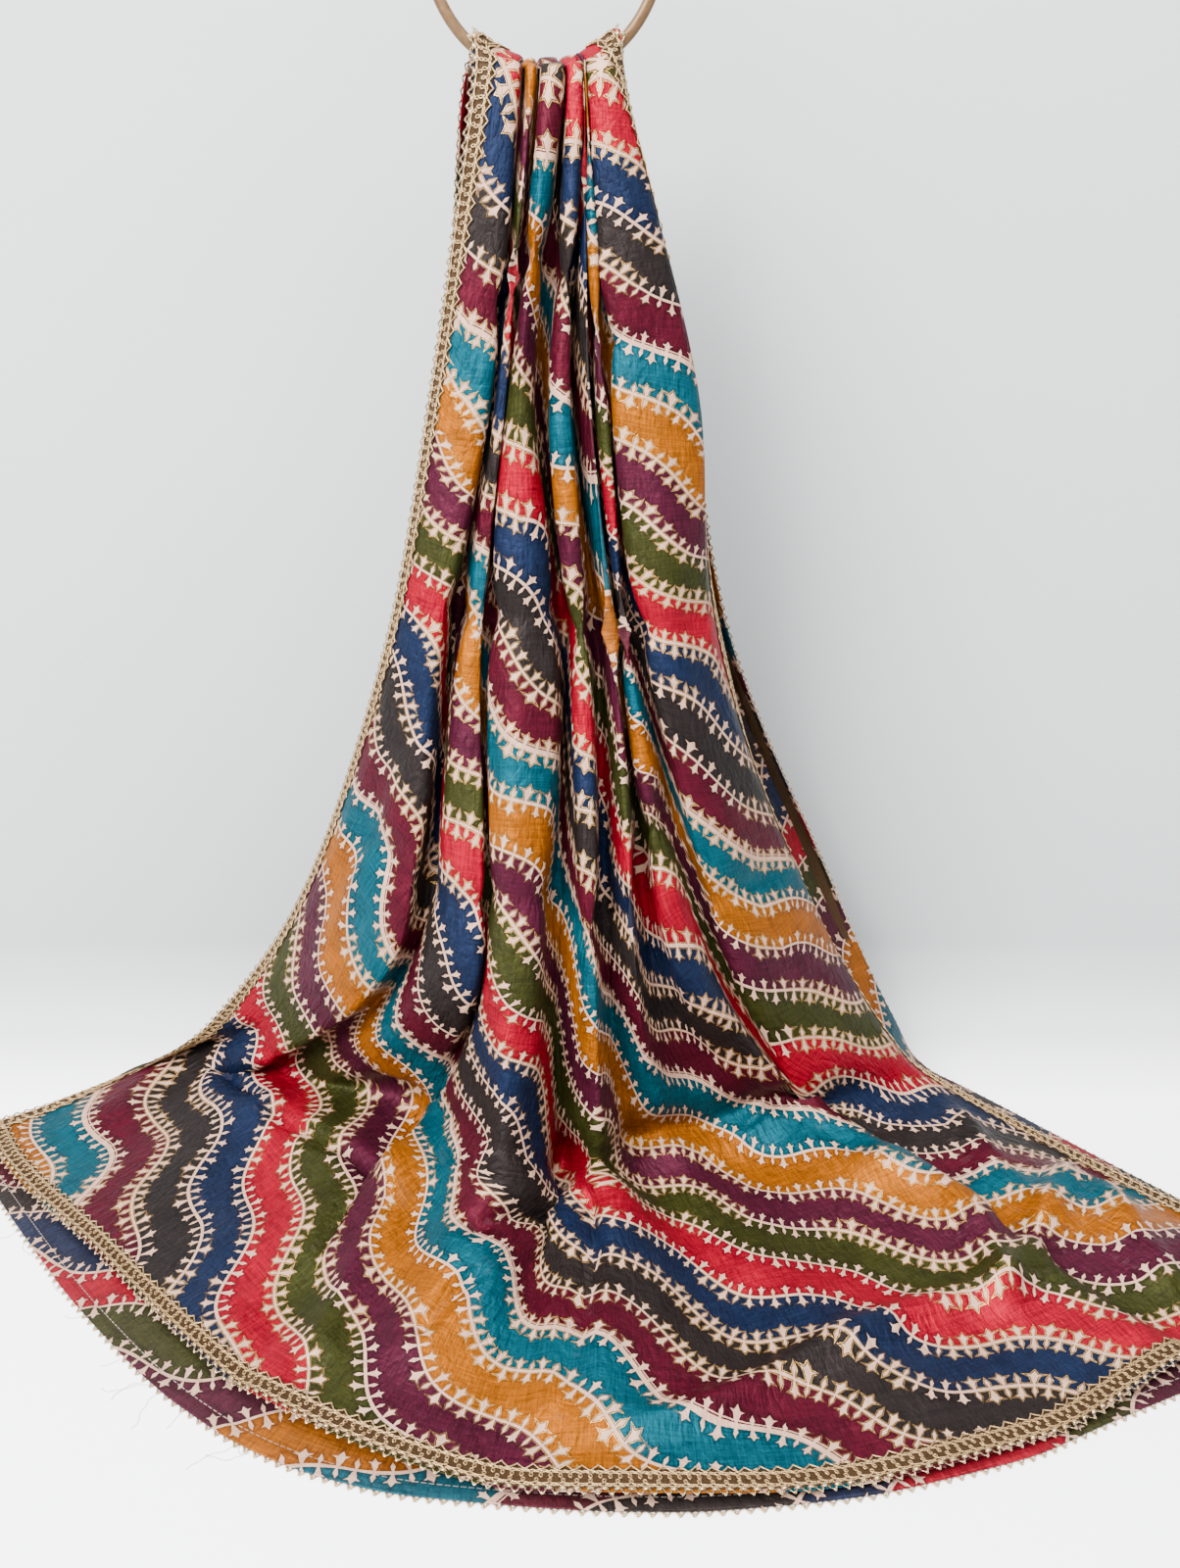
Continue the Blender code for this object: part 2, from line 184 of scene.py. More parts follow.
def backRows():
    side = np.where(np.arange(len(share)) % 2, 1.0, -1.0)
    side[[0, 1, -2, -1]] = drape["edgeFolds"]
    rollX, rollY = drape["edgeRoll"]
    hanging = []
    for number, (_, z, frontY, _, curve, gap, left, right, fold) in enumerate(heights):
        x = left + (right - left) * share
        if number == 0:
            x = np.maximum.accumulate(hangingX[0]) + drape["neckSpread"] * x
        x[1], x[-2] = x[0] + rollX, x[-1] - rollX
        y = frontY + gap + drape["backCurve"] * curve * (x - drape["curveFrom"]) ** 2 + side * fold
        y[[0, -1]] -= rollY
        hanging.append(np.stack([x, y, 0 * x + z], -1))
    x = landX[0] + (landX[-1] - landX[0]) * share + drape["backBeside"] * (2 * share - 1)
    y = drape["backLand"] * np.interp(x, landX, landY) + drape["backBehind"]
    land = np.stack([x, y, 0 * x + drape["under"]], -1)
    hem = hemPoints(backHem, share)
    hem[:, 2] = drape["under"]
    plan, rise = drape["backSweep"]
    sweep = plan * hanging[-1] + (1 - plan) * land
    sweep[:, 2] = rise * hanging[-1][:, 2] + drape["sweepFold"] * side
    return hanging + [sweep, land, (hem + land) / 2, toward(hem, land, drape["border"]), hem]


front, back = frontRows(), backRows()
net = np.array(front + overHoop(front[-1], back[0]) + back)


def clothSurface(along, across):
    points = np.einsum(
        "ri,ijk,cj->rck", curveWeights(len(net), along, drape["alongPull"]), net,
        curveWeights(len(folds), across, drape["acrossPull"]), optimize=True,
    )
    edge = drape["laceInside"] / drape["border"] + drape["edgeSpare"]
    overLace = ((across < edge) | (across > across[-1] - edge))[None, :] | (along > lastRow - edge)[:, None]
    backFloor = np.where(overLace, drape["underBorder"], drape["under"])
    points[..., 2] = np.maximum(points[..., 2], np.where(along[:, None] < hoopRow, drape["upper"], backFloor))
    return points


def gridNormals(points):
    faces = unit(np.cross(points[1:, 1:] - points[:-1, :-1], points[1:, :-1] - points[:-1, 1:]))
    faces = np.pad(faces, ((1, 1), (1, 1), (0, 0)))
    return unit(faces[1:, 1:] + faces[:-1, 1:] + faces[1:, :-1] + faces[:-1, :-1])


def softNoise(x, y, seed):
    cells = 128
    lattice = np.random.RandomState(seed).uniform(-1, 1, (cells, cells))
    left, low = np.floor(x).astype(int), np.floor(y).astype(int)
    fx, fy = smooth(x - left, 0, 1), smooth(y - low, 0, 1)
    corner = [[lattice[(left + i) % cells, (low + j) % cells] for i in (0, 1)] for j in (0, 1)]
    lower, upper = [first * (1 - fx) + second * fx for first, second in corner]
    return lower * (1 - fy) + upper * fy


def steps(distances, axis):
    run = np.cumsum(np.linalg.norm(np.diff(distances, axis=axis), axis=-1), axis=axis)
    pad = [(0, 0), (0, 0)]
    pad[axis] = (1, 0)
    return np.pad(run, pad)

along = [np.zeros(1)]
for end, count in drape["rows"]:
    along.append(np.linspace(along[-1][-1], end, count + 1)[1:])
along = np.concatenate(along)
across = [np.zeros(1)]
for fold, width in enumerate(np.diff(share) * drape["width"]):
    across.append(np.linspace(fold, fold + 1, max(3, int(round(width / drape["cell"]))) + 1)[1:])
across = np.concatenate(across)
smoothCloth = clothSurface(along, across)
print("drape surface", smoothCloth.shape)

view = dict(lens=29.25, sensor=36, place=(0.0, -1.0, 0.669), pitch=radians(20), photoHeight=1600)
printWork = dict(
    angle=radians(33.6), pitch=0.0424, start=0.15, wave=0.0097, waveLength=0.134, phase=0.5,
    # motifs in mm: half width at the foot, its growth, height, growth toward the tip
    repeat=18.0, leaf=(0.28, 0.27, 11.2, 0.56), bud=(0.24, 0.22, 8.3, 0.44),
    arms=(6.7, 0.38, 1.5, 4.0), lean=0.26, sizes=(0.26, 0.87), vineStep=0.37,
    vine=1.2, thinner=0.25, thinVines=(3, 6, 0), thicker=0.75, thickVine=2,
    secondVine=3.3, secondHalf=0.42, secondHide=3.0,
)

# how the print lies: cells in view keep its true scale, those inside folds give way
lie = dict(
    rounds=26, haste=0.8, hiddenFold=0.012, hiddenNeck=0.00003, hemShift=-0.030, frontLength=1.1, margin=20,
    edgePin=20.0, stripePin=0.4, floorPin=0.02, placePin=0.04, frontRows=9, looseEdge=(6, 13.5),
    aheadRows=(3, 4.5, 9.6, 10.4), behindRows=(9.6, 10.4, 15, 16.5), neckRows=(7.2, 8.2, 11.5, 12.5),
    inFront=[(3.3, 4.9), (6.2, 7.8), (10.3, 11.8), (13.3, 14.8), (15.2, 16.8), (18.3, 19.7)],
    behind=[(fold - 0.35, fold + 0.35) for fold in range(2, 22, 2)],
)
# fold, its place across the cut cloth (mm), top stripe, photo rows where it and the next ones start
stripeStarts = [
    (0, 0, 20, (
        115, 217, 293, 345, 388, 465, 553, 604, 642, 695, 780, 822, 860, 925, 975, 1016, 1050, 1083, 1118,
    )),
    (1.75, None, 21, (148, 197, 262, 368, 438, 485, 535, 585, 645, 700, 775, 815, 872)),
    (5.5, 268, 22, (280, 335, 450, 510, 563, 625, 727, 783, 831, 922, 988)),
    (9, 440, 26, (170, 228, 303, 357, 445, 548, 591, 683, 760, 815, 873, 967, 1030, 1079, 1130)),
    (12.5, 622, 28, (258, 300, 400, 485, 533, 595, 695, 771, 820, 888, 988, 1045, 1094)),
    (15, 755, 28, (300, 410, 480, 612, 680, 783, 855, 905, 961, 1020, 1082, 1137)),
    (17.5, None, 32, (335, 430, 485, 548, 595, 640, 690, 740, 780, 820, 866, 965, 1040, 1080, 1125)),
    (20, None, 38, (
        88, 143, 210, 278, 331, 383, 436, 519, 590, 636, 686, 728, 818, 892, 937, 982, 1061, 1113,
    )),
    (21, 1063, 38, (
        96, 165, 230, 284, 349, 412, 481, 548, 603, 652, 710, 808, 861, 938, 978, 1010, 1058, 1107, 1159,
    )),
    (22, None, 38, (
        111, 182, 240, 305, 404, 467, 516, 565, 612, 666, 775, 857, 895, 921, 966, 1015, 1065, 1110, 1160,
    )),
]
floorStarts = [  # the same where the left part lies on the floor, followed loosely
    (3, None, 3, (1095, 1131, 1185, 1216)), (4, None, 4, (1091, 1123, 1208, 1245)),
    (5, None, 6, (1088, 1112, 1186, 1227, 1320)),
]


def turned(x, y, angle):
    return x * cos(angle) - y * sin(angle), x * sin(angle) + y * cos(angle)


def photoRow(points):
    away = points - view["place"]
    deep, up = turned(away[..., 1], away[..., 2], view["pitch"])
    return view["photoHeight"] * (0.5 - view["lens"] / view["sensor"] * up / deep)


def stripeNumber(u, v):
    w = printWork
    a, b = turned(u, v, w["angle"])
    wave = w["wave"] * np.sin(2 * pi * a / w["waveLength"] + w["phase"])
    return w["start"] + (b + wave) / w["pitch"]


def inView(rows, cols):
    ahead, behind = spell(rows, *lie["aheadRows"]), spell(rows, *lie["behindRows"])
    neck = spell(rows, *lie["neckRows"])[:, None]
    hidden = np.zeros((len(rows), len(cols)))
    for side, spans in ((ahead, lie["inFront"]), (behind, lie["behind"])):
        for first, last in spans:
            hidden += side[:, None] * ((cols > first) & (cols < last))
    return lie["hiddenFold"] ** (hidden * (1 - neck)) * lie["hiddenNeck"] ** (hidden * neck)


def rowSolver(sideways, upward, pins):
    # direct solve of the springs between neighbours, one row of the grid at a time
    inverses = []
    for i, pin in enumerate(pins):
        block = np.diag(pin)
        k = np.arange(len(pin) - 1)
        for one, other, sign in ((k, k, 1), (k + 1, k + 1, 1), (k, k + 1, -1), (k + 1, k, -1)):
            block[one, other] += sign * sideways[i]
        if i < len(pins) - 1:
            block += np.diag(upward[i])
        if i:
            block += np.diag(upward[i - 1]) - upward[i - 1][:, None] * inverses[-1] * upward[i - 1]
        inverses.append(np.linalg.inv(block))

    def solve(pull):
        carried = [pull[0]]
        for i in range(1, len(pull)):
            carried.append(pull[i] + upward[i - 1] * (inverses[i - 1] @ carried[-1]))
        found = [inverses[-1] @ carried[-1]]
        for i in range(len(pull) - 2, -1, -1):
            found.append(inverses[i] @ (carried[i] + upward[i] * found[-1]))
        return np.array(found[::-1])

    return solve


def layPrint(points):
    tall, wide = points.shape[:2]
    weight = inView((along[1:] + along[:-1]) / 2, (across[1:] + across[:-1]) / 2)
    toSide, toTop = np.diff(points, axis=1), np.diff(points, axis=0)
    middleSide, middleTop = (toSide[:-1] + toSide[1:]) / 2, (toTop[:, :-1] + toTop[:, 1:]) / 2
    area = np.linalg.norm(np.cross(middleSide, middleTop), axis=-1)
    sideWeight = weight * area / (middleSide**2).sum(-1)
    topWeight = weight * area / (middleTop**2).sum(-1)
    first = unit(middleSide)
    second = unit(middleTop - (middleTop * first).sum(-1, keepdims=True) * first)

    def flat(edge):  # an edge of a cell that is laid flat, as u + iv
        return (edge * first).sum(-1) + 1j * (edge * second).sum(-1)

    edges = [flat(toSide[:-1]), flat(toSide[1:]), flat(toTop[:, :-1]), flat(toTop[:, 1:])]
    weights = [sideWeight, sideWeight, topWeight, topWeight]
    sideways, upward = np.zeros((tall, wide - 1)), np.zeros((tall - 1, wide))
    sideways[:-1] += sideWeight
    sideways[1:] += sideWeight
    upward[:, :-1] += topWeight
    upward[:, 1:] += topWeight

    pinU, pinV, wantU, wantV = np.zeros((4, tall, wide))
    pinU[:, 0] = lie["edgePin"]
    pinU[(along < lie["looseEdge"][0]) | (along > lie["looseEdge"][1]), -1] = lie["edgePin"]
    wantU[:, -1] = drape["width"]
    pinV[[0, -1]] = lie["edgePin"]
    wantV[0], wantV[-1] = lie["hemShift"], drape["length"]
    photoRows = photoRow(points)
    readings = []
    strengths = [lie["stripePin"]] * len(stripeStarts) + [lie["floorPin"]] * len(floorStarts)
    for strength, (fold, foldPlace, top, starts) in zip(strengths, stripeStarts + floorStarts):
        column = int(np.argmin(abs(across - fold)))
        here = photoRows[:, column]
        seen = (here > starts[0] - lie["margin"]) & (here < starts[-1] + lie["margin"])
        rows = np.flatnonzero(seen & (along < lie["frontRows"]))
        slope = [(starts[1] - starts[0]), (starts[-1] - starts[-2])]
        marks = np.array([starts[0] - slope[0], *starts, starts[-1] + slope[1]])
        numbers = top + 1 - np.arange(len(marks))
        readings.append((rows, column, np.interp(here[rows], marks, numbers)))
        pinV[rows, column] = strength
        if foldPlace:
            pinU[rows, column] = lie["placePin"]
            wantU[rows, column] = foldPlace * mm
    solveU, solveV = rowSolver(sideways, upward, pinU), rowSolver(sideways, upward, pinV)
    run = steps(points, 0)
    ring = int(np.argmin(abs(along - hoopRow)))
    front, back = lie["frontLength"], drape["length"] - lie["frontLength"]
    below, above = front * run / run[ring], front + back * (run - run[ring]) / (run[-1] - run[ring])
    spot = drape["width"] * np.interp(across, np.arange(len(folds)), share)
    spot = spot + 1j * np.where(run <= run[ring], below, above)
    haste = lie["haste"] * printWork["pitch"] / cos(printWork["angle"])
    for _ in range(lie["rounds"]):
        stepU, stepV = np.diff(spot, axis=1), np.diff(spot, axis=0)
        moved = [stepU[:-1], stepU[1:], stepV[:, :-1], stepV[:, 1:]]
        turn = sum(w * step * np.conj(edge) for w, step, edge in zip(weights, moved, edges))
        turn /= np.maximum(abs(turn), 1e-12)
        aim = [w * turn * edge for w, edge in zip(weights, edges)]
        pull = np.zeros((tall, wide), complex)
        corners = ((0, 0, aim[0], 0), (1, 0, aim[1], 0), (0, 0, aim[2], 1), (0, 1, aim[3], 1))
        for rows, cols, near, far in corners:
            here = pull[rows:tall - 1 + rows, cols:wide - 1 + cols]
            here -= near
            there = pull[rows + far:tall - 1 + rows + far, cols + 1 - far:wide - far + cols]
            there += near
        for rows, column, numbers in readings:
            here = spot[rows, column]
            miss = numbers - stripeNumber(here.real, here.imag)
            wantV[rows, column] = here.imag + haste * miss
        spot = solveU(pull.real + pinU * wantU) + 1j * solveV(pull.imag + pinV * wantV)
    return spot.real, spot.imag


u, v = layPrint(smoothCloth)
print("print laid, stripes", np.round(np.percentile(stripeNumber(u, v), (0, 100))))

# wrinkles: long soft ones where the cloth hangs, rounder ones on the floor, and creases from storage
wrinkles = dict(
    hanging=[(0.0036, 0.030, 0.7, 0.21, 0, 3), (0.0013, 0.013, 2, 0.06, 0, 4)],  # height, cell across and its
    onFloor=[(0.0032, 0.075, 3, 0.060, -2, 5), (0.0012, 0.024, 0, 0.030, 0, 6)],  # slant, same along, seed
    hangRows=(3.6, 5, 14.6, 16), floorRows=(3.1, 4.3), calmRows=(7.4, 8.3, 12, 13), calmEdge=(0.03, 0.06),
    sink=0.001, crease=0.0095, creaseWidth=0.020, wander=(0.004, 0.09, 7), fade=(0.25, 0.07, 8),
    creaseAt=(0.205, 0.440, 0.655, 0.905, 1.330, 1.600, 1.870), creaseSlant=(0.12, 0.12, 0.12, 0.12, 0, 0, 0),
)
floorFolds = [  # height (below 0: a sunk line between two rolls), width, and points along it, all in mm
    (-12, 12, (-337, 10), (-296, -36)),
    (-11, 12, (-280, -55), (-191, -124), (-176, -140)),
    (14, 13, (-144, -150), (-166, -240), (-188, -322)),
    (-9, 10, (-200, -221), (-192, -183)),
    (13, 12, (-153, -161), (-144, -121), (-125, -58), (-109, -9)),
    (-8, 10, (-124, -140), (-79, -174)),
    (-13, 12, (-85, -234), (-42, -197)),
    (-14, 14, (4, -190), (4, -243), (-8, -337), (-8, -375)),
    (10, 13, (14, -131), (80, -112), (150, -71)),
    (-11, 11, (-115, -312), (-85, -273)),
    (13, 12, (-1, -401), (58, -377), (100, -354), (150, -322), (187, -303), (225, -280), (297, -259)),
    (13, 13, (226, -135), (243, -139), (285, -169), (298, -214), (301, -248)),
    (11, 12, (322, -54), (330, -135), (354, -185)),
    (13, 12, (385, -139), (354, -185), (317, -244), (298, -267)),
    (12, 13, (406, -113), (411, -176), (412, -221), (421, -250)),
    (-9, 11, (194, -91), (227, -131)),
    (-8, 11, (133, -78), (177, -51)),
]


def distanceTo(places, points):
    nearest = np.full(places.shape[:2], np.inf)
    for start, end in zip(points[:-1], points[1:]):
        run = end - start
        part = np.clip(((places - start) @ run) / (run @ run), 0, 1)[..., None]
        nearest = np.minimum(nearest, np.linalg.norm(places - start - part * run, axis=-1))
    return nearest


def ripples(table):
    return sum(
        height * softNoise(u / wide + slant * v, v / tall + lean * u, seed)
        for height, wide, slant, tall, lean, seed in table
    )


def unsteady(form, number):
    amount, cell, seed = form
    return amount * softNoise(u / cell, 0 * u + number, seed)


sideRun, hemRun = steps(smoothCloth, 1), steps(smoothCloth, 0)
inset = np.minimum.reduce([sideRun, sideRun[:, -1:] - sideRun, hemRun, hemRun[-1:] - hemRun])
calm = smooth(inset, *wrinkles["calmEdge"]) * (1 - spell(along, *wrinkles["calmRows"]))[:, None]
hanging = spell(along, *wrinkles["hangRows"])[:, None]
ripple = hanging * ripples(wrinkles["hanging"]) + (1 - hanging) * ripples(wrinkles["onFloor"])
for number, (height, slant) in enumerate(zip(wrinkles["creaseAt"], wrinkles["creaseSlant"])):
    off = v - height - slant * u - unsteady(wrinkles["wander"], number)
    sharp = 1 - wrinkles["fade"][0] + unsteady(wrinkles["fade"], number)
    ripple -= wrinkles["crease"] * sharp * np.exp(-abs(off) / wrinkles["creaseWidth"])
onFloor = (1 - smooth(along, *wrinkles["floorRows"]))[:, None]
for height, width, *points in floorFolds:
    far = distanceTo(smoothCloth[..., :2], np.array(points) * mm) / (width * mm)
    ripple += onFloor * abs(height) * mm * (np.exp(-(far**2)) if height > 0 else far * np.exp(1 - far))
clothPoints = smoothCloth + gridNormals(smoothCloth) * (ripple * calm)[..., None]
lowest = np.where(along < hoopRow, drape["upper"] - wrinkles["sink"], drape["under"])[:, None]
clothPoints[..., 2] = np.maximum(clothPoints[..., 2], lowest)


def addMesh(name, points, faces, finishes, finishOf=None, places=None):
    mesh = bpy.data.meshes.new(name)
    mesh.from_pydata((np.asarray(points) + place).tolist(), [], [list(face) for face in faces])
    for finish in finishes:
        mesh.materials.append(finish)
    if finishOf is not None:
        mesh.polygons.foreach_set("material_index", np.asarray(finishOf, np.int32))
    mesh.shade_smooth()
    if places is not None:
        corners = np.empty(len(mesh.loops), np.int32)
        mesh.loops.foreach_get("vertex_index", corners)
        layer = mesh.uv_layers.new(name="printMap")
        layer.data.foreach_set("uv", np.asarray(places)[corners].ravel())
    piece = bpy.data.objects.new(name, mesh)
    bpy.context.scene.collection.objects.link(piece)
    return piece


def put(tree, socket, value):
    if isinstance(value, bpy.types.NodeSocket):
        tree.links.new(value, socket)
    else:
        socket.default_value = value


def maths(tree, operation, *values):
    node = tree.nodes.new("ShaderNodeMath")
    node.operation = operation
    for socket, value in zip(node.inputs, values):
        put(tree, socket, value)
    return node.outputs[0]


def ramp(tree, value, low, high, start=0.0, end=1.0, soft=True):
    node = tree.nodes.new("ShaderNodeMapRange")
    node.interpolation_type = "SMOOTHSTEP" if soft else "LINEAR"
    for socket, entry in zip(node.inputs, (value, low, high, start, end)):
        put(tree, socket, entry)
    return node.outputs[0]


def mixColour(tree, factor, first, second, blend="MIX"):
    node = tree.nodes.new("ShaderNodeMix")
    node.data_type, node.blend_type = "RGBA", blend
    for number, value in ((0, factor), (6, first), (7, second)):  # the node's colour sockets
        put(tree, node.inputs[number], value)
    return node.outputs[2]


def stretched(tree, vector, stretch):
    node = tree.nodes.new("ShaderNodeVectorMath")
    node.operation = "MULTIPLY"
    put(tree, node.inputs[0], vector)
    node.inputs[1].default_value = stretch
    return node.outputs[0]


def noiseAt(tree, vector, scale, stretch=(1, 1, 1), detail=2.0):
    node = tree.nodes.new("ShaderNodeTexNoise")
    put(tree, node.inputs["Vector"], stretched(tree, vector, stretch))
    node.inputs["Scale"].default_value = scale
    node.inputs["Detail"].default_value = detail
    return node.outputs[0]


def printSpot(tree):
    node = tree.nodes.new("ShaderNodeUVMap")
    node.uv_map = "printMap"
    return node.outputs[0]


def takeApart(tree, vector):
    node = tree.nodes.new("ShaderNodeSeparateXYZ")
    tree.links.new(vector, node.inputs[0])
    return node.outputs


def paint(red, green, blue):
    return (*[((value / 255 + 0.055) / 1.055) ** 2.4 for value in (red, green, blue)], 1.0)


# wavy stripes in eight colours, with a vine of pointed leaves and drop buds along each boundary
stripeColours = [
    ("mustard", (0.150, 0.040, 0.0001, 1)), ("teal", (0.0001, 0.034, 0.048, 1)),
    ("wine", (0.034, 0.0017, 0.0062, 1)), ("charcoal", (0.0090, 0.0066, 0.0062, 1)),
    ("navy", (0.0035, 0.0068, 0.0200, 1)), ("coral", (0.150, 0.0001, 0.0074, 1)),
    ("olive", (0.0150, 0.0158, 0.0032, 1)), ("plum", (0.0290, 0.0030, 0.0092, 1)),
]
clothLook = dict(
    mapSide=2.2,  # the print map's square covers this much cloth
    slubs=((850, 42, 1), (36, 780, 1)), threads=((2600, 260, 1), (240, 2300, 1)), patches=38.0,
    shading=(0.38, 0.22), shadingRange=(0.36, 0.62), dyeRange=((0.58, 0.58, 0.60, 1), (1.24, 1.24, 1.22, 1)),
    bareCell=120.0, bareRange=((0.215, 0.122, 0.084, 1), (0.37, 0.230, 0.162, 1)),
    washed=(0.085, 0.066, 0.060, 1), foil=(0.30, 0.17, 0.05, 1), halo=(0.36, 0.30, 0.30, 1),
    # below, the reach of each effect: mm inside (above 0) or outside a motif's outline
    motifEdge=0.14, foilOuter=(-1.1, -0.85), foilInner=(-0.35, -0.6), haloReach=(-2.6, -0.5), haloShare=0.55,
    ragged=(700.0, 0.7), foilCell=9.0, foilCover=(0.45, 0.6),
    crinkle=(62.0, (1.6, 0.8, 1), 3.0), crinkleTop=0.16, relief=(0.15, 3.6), bump=0.0011,
    roughness=(0.33, 0.12, 0.06, -0.14), metallic=(0.40, -0.25, 0.4),  # plain; slubs, motif and foil add
    stitchPace=1500.0, stitchGap=(-0.7, -0.4), stitchEdge=(0.0004, 0.00015), stitch=(0.26, 0.21, 0.18, 1),
)


def buildPrintGroup():
    tree = bpy.data.node_groups.new("leafy vine stripes", "ShaderNodeTree")
    sockets = [("INPUT", "Place", "Vector"), ("INPUT", "Wash Out", "Float"), ("INPUT", "Foil", "Float")]
    sockets += [("OUTPUT", "Color", "Color")]
    sockets += [("OUTPUT", name, "Float") for name in ("Roughness", "Metallic", "Height")]
    for way, name, kind in sockets:
        tree.interface.new_socket(name=name, in_out=way, socket_type="NodeSocket" + kind)
    given = tree.nodes.new("NodeGroupInput")
    w, look, kinds = printWork, clothLook, len(stripeColours)

    do, noise = partial(maths, tree), partial(noiseAt, tree, given.outputs["Place"])
    plus, minus, most = [partial(do, name) for name in ("ADD", "SUBTRACT", "MAXIMUM")]

    def by(*values):  # the first two multiplied, plus the third where there is one
        return do("MULTIPLY_ADD" if len(values) == 3 else "MULTIPLY", *values)

    def crossed(stretches):  # threads that run both ways
        return plus(*[noise(1.0, stretch) for stretch in stretches])

    def kindOf(number):  # counts the stripes' colours over and over, also below 0
        return do("MODULO", plus(number, 100.0 * kinds), float(kinds))

    u, v, _ = takeApart(tree, given.outputs["Place"])
    a = minus(by(u, cos(w["angle"])), by(v, sin(w["angle"])))
    b = plus(by(u, sin(w["angle"])), by(v, cos(w["angle"])))
    turn = by(a, 2 * pi / w["waveLength"], w["phase"])
    waved = by(do("SINE", turn), w["wave"], b)
    slope = by(do("COSINE", turn), 2 * pi * w["wave"] / w["waveLength"])
    stripe = by(waved, 1 / w["pitch"], w["start"])
    vine = do("FLOOR", plus(stripe, 0.5))
    off = by(minus(stripe, vine), w["pitch"] / mm)
    steep = by(slope, slope, 1.0)
    y = do("DIVIDE", do("ABSOLUTE", off), do("SQRT", steep))
    foot = minus(by(a, 1 / mm), do("DIVIDE", by(off, slope), steep))
    below = do("LESS_THAN", off, 0.0)
    turnOf = by(below, 0.5, do("DIVIDE", foot, w["repeat"]))
    turnOf = plus(turnOf, by(vine, w["vineStep"]))
    cell = do("FLOOR", turnOf)
    acrossLeaf = by(minus(minus(turnOf, cell), 0.5), w["repeat"])
    acrossBud = by(minus(do("FRACT", plus(turnOf, 0.5)), 0.5), w["repeat"])
    key = tree.nodes.new("ShaderNodeCombineXYZ")
    for socket, value in zip(key.inputs, (cell, vine, below)):
        put(tree, socket, value)
    chance = tree.nodes.new("ShaderNodeTexWhiteNoise")
    tree.links.new(key.outputs[0], chance.inputs["Vector"])
    chances = tree.nodes.new("ShaderNodeSeparateColor")
    tree.links.new(chance.outputs["Color"], chances.inputs[0])
    size = by(chances.outputs[0], *w["sizes"])
    lean = by(chances.outputs[1], w["lean"], -w["lean"] / 2)
    tall = by(y, size)
    x = do("ABSOLUTE", by(by(lean, y, acrossLeaf), size))

    def kite(foot, widen, tip, narrow, off):  # grows wider up to its shoulders, then runs to a point
        lower = by(tall, widen, foot)
        return minus(do("MINIMUM", lower, by(tall, -narrow, tip * narrow)), off)

    armAt, armRise, armThick, armReach = w["arms"]
    arms = do("ABSOLUTE", minus(tall, by(x, armRise, armAt)))
    arms = minus(by(x, -armThick / armReach, armThick), arms)
    leaf = most(kite(*w["leaf"], x), arms)
    bud = kite(*w["bud"], do("ABSOLUTE", acrossBud))
    vineKind = kindOf(vine)
    isThick = do("COMPARE", vineKind, w["thickVine"], 0.1)
    isThin = 0.0
    for number in w["thinVines"]:
        isThin = most(isThin, do("COMPARE", vineKind, number, 0.1))
    halfWide = by(isThin, -w["thinner"], by(isThick, w["thicker"], w["vine"]))
    line = minus(halfWide, y)
    beside = minus(w["secondHalf"], do("ABSOLUTE", minus(y, w["secondVine"])))
    without = most(below, minus(1.0, isThick))
    beside = by(without, -w["secondHide"], beside)
    drawn = most(most(leaf, bud), most(line, beside))
    raggedCell, ragged = look["ragged"]
    inside = plus(drawn, by(noise(raggedCell), ragged, -ragged / 2))
    motif = ramp(tree, inside, -look["motifEdge"], look["motifEdge"])

    dyes = tree.nodes.new("ShaderNodeValToRGB")
    dyes.color_ramp.interpolation = "CONSTANT"
    stops = dyes.color_ramp.elements
    while len(stops) < kinds:
        stops.new(0.5)
    for number, (_, colour) in enumerate(stripeColours):
        stops[number].position, stops[number].color = number / kinds, colour
    middle = by(kindOf(do("FLOOR", stripe)), 1 / kinds, 0.5 / kinds)
    tree.links.new(middle, dyes.inputs[0])
    slubs = crossed(look["slubs"])
    ofSlubs, ofPatches = look["shading"]
    uneven = by(slubs, ofSlubs, by(noise(look["patches"]), ofPatches))
    tint = mixColour(tree, ramp(tree, uneven, *look["shadingRange"]), *look["dyeRange"])
    dyed = mixColour(tree, 1.0, dyes.outputs[0], tint, "MULTIPLY")
    bare = mixColour(tree, noise(look["bareCell"]), *look["bareRange"])
    shiny = by(ramp(tree, noise(look["foilCell"]), *look["foilCover"]), given.outputs["Foil"])
    outline = by(ramp(tree, inside, *look["foilOuter"]), ramp(tree, inside, *look["foilInner"]))
    foil = by(outline, shiny)
    halo = by(ramp(tree, inside, *look["haloReach"]), look["haloShare"])
    shaded = mixColour(tree, halo, dyed, mixColour(tree, 1.0, dyed, look["halo"], "MULTIPLY"))
    foiled = mixColour(tree, foil, mixColour(tree, motif, shaded, bare), look["foil"])
    washed = mixColour(tree, given.outputs["Wash Out"], foiled, look["washed"])
    plain, onSlubs, onMotif, onFoil = look["roughness"]
    rough = by(motif, onMotif, by(slubs, onSlubs, plain))
    rough = by(foil, onFoil, rough)
    plain, onMotif, onFoil = look["metallic"]
    metal = by(foil, onFoil, by(motif, onMotif, plain))
    ofThreads, ofCrinkle = look["relief"]
    crinkle = do("ABSOLUTE", minus(noise(*look["crinkle"]), 0.5))
    crinkle = by(do("MINIMUM", crinkle, look["crinkleTop"]), ofCrinkle)
    height = by(crossed(look["threads"]), ofThreads, crinkle)
    result = tree.nodes.new("NodeGroupOutput")
    for socket, value in zip(result.inputs, (washed, rough, metal, height)):
        put(tree, socket, value)
    return tree


printGroup = buildPrintGroup()


